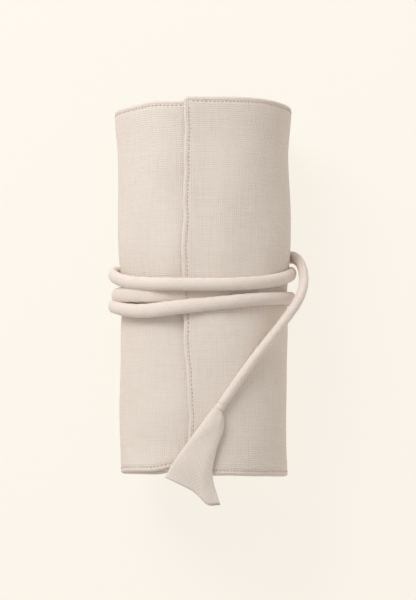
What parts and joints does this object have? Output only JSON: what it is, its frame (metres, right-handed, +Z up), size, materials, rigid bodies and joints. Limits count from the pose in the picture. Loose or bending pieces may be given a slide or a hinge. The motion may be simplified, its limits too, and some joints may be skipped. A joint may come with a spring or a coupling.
{
  "type": "rolled herbal compress wrap",
  "caption": "Padded natural cotton compress wrap rolled round a removable herb-filled pad and closed by its own stuffed cloth tie with a flared end.",
  "frame": {"origin": "middle of the rolled wrap's underside, on the surface it lies on", "axes": "+Z up, +Y along the roll to its head end, +X across the roll"},
  "size_m": [0.1263, 0.2505, 0.0992],
  "materials": {
    "natural_cloth": "matte",
    "lining_cloth": "matte",
    "tie_cloth": "matte",
    "thread": "matte",
    "batting": "matte",
    "herbs": "matte"
  },
  "bodies": {
    "wrap": {"outer_cloth": "natural_cloth", "batting": "batting", "lining": "lining_cloth", "head_hem_thread": "thread", "foot_hem_thread": "thread", "flap_hem_thread": "thread", "inner_hem_thread": "thread", "tie_anchor": "tie_cloth", "anchor_bartack": "thread", "tie_cover": "tie_cloth", "tie_filler": "batting", "tie_join_thread": "thread"},
    "tail": {"tail_cover": "tie_cloth", "tail_filler": "batting", "tail_seam_thread": "thread"},
    "flare": {"flare_front": "tie_cloth", "flare_back": "tie_cloth", "flare_side_seam": "thread"},
    "pad": {"pad_cover": "lining_cloth", "pad_herb_fill": "herbs", "pad_quilting_thread": "thread"}
  },
  "joints": [
    {"name": "pad_slide", "type": "slide", "parent": "wrap", "child": "pad", "axis": [0, 1, 0], "range_m": [0, 0.23]},
    {"name": "tail_lift", "type": "hinge", "parent": "wrap", "child": "tail", "pos_m": [0.0598, -0.0086, 0.0756], "axis": [0, 1, 0], "range_deg": [0, 90]},
    {"name": "flare_flex", "type": "hinge", "parent": "tail", "child": "flare", "pos_m": [0.0098, -0.0767, 0.0945], "axis": [-0.8156, 0.5786, 0], "range_deg": [0, 60]}
  ]
}
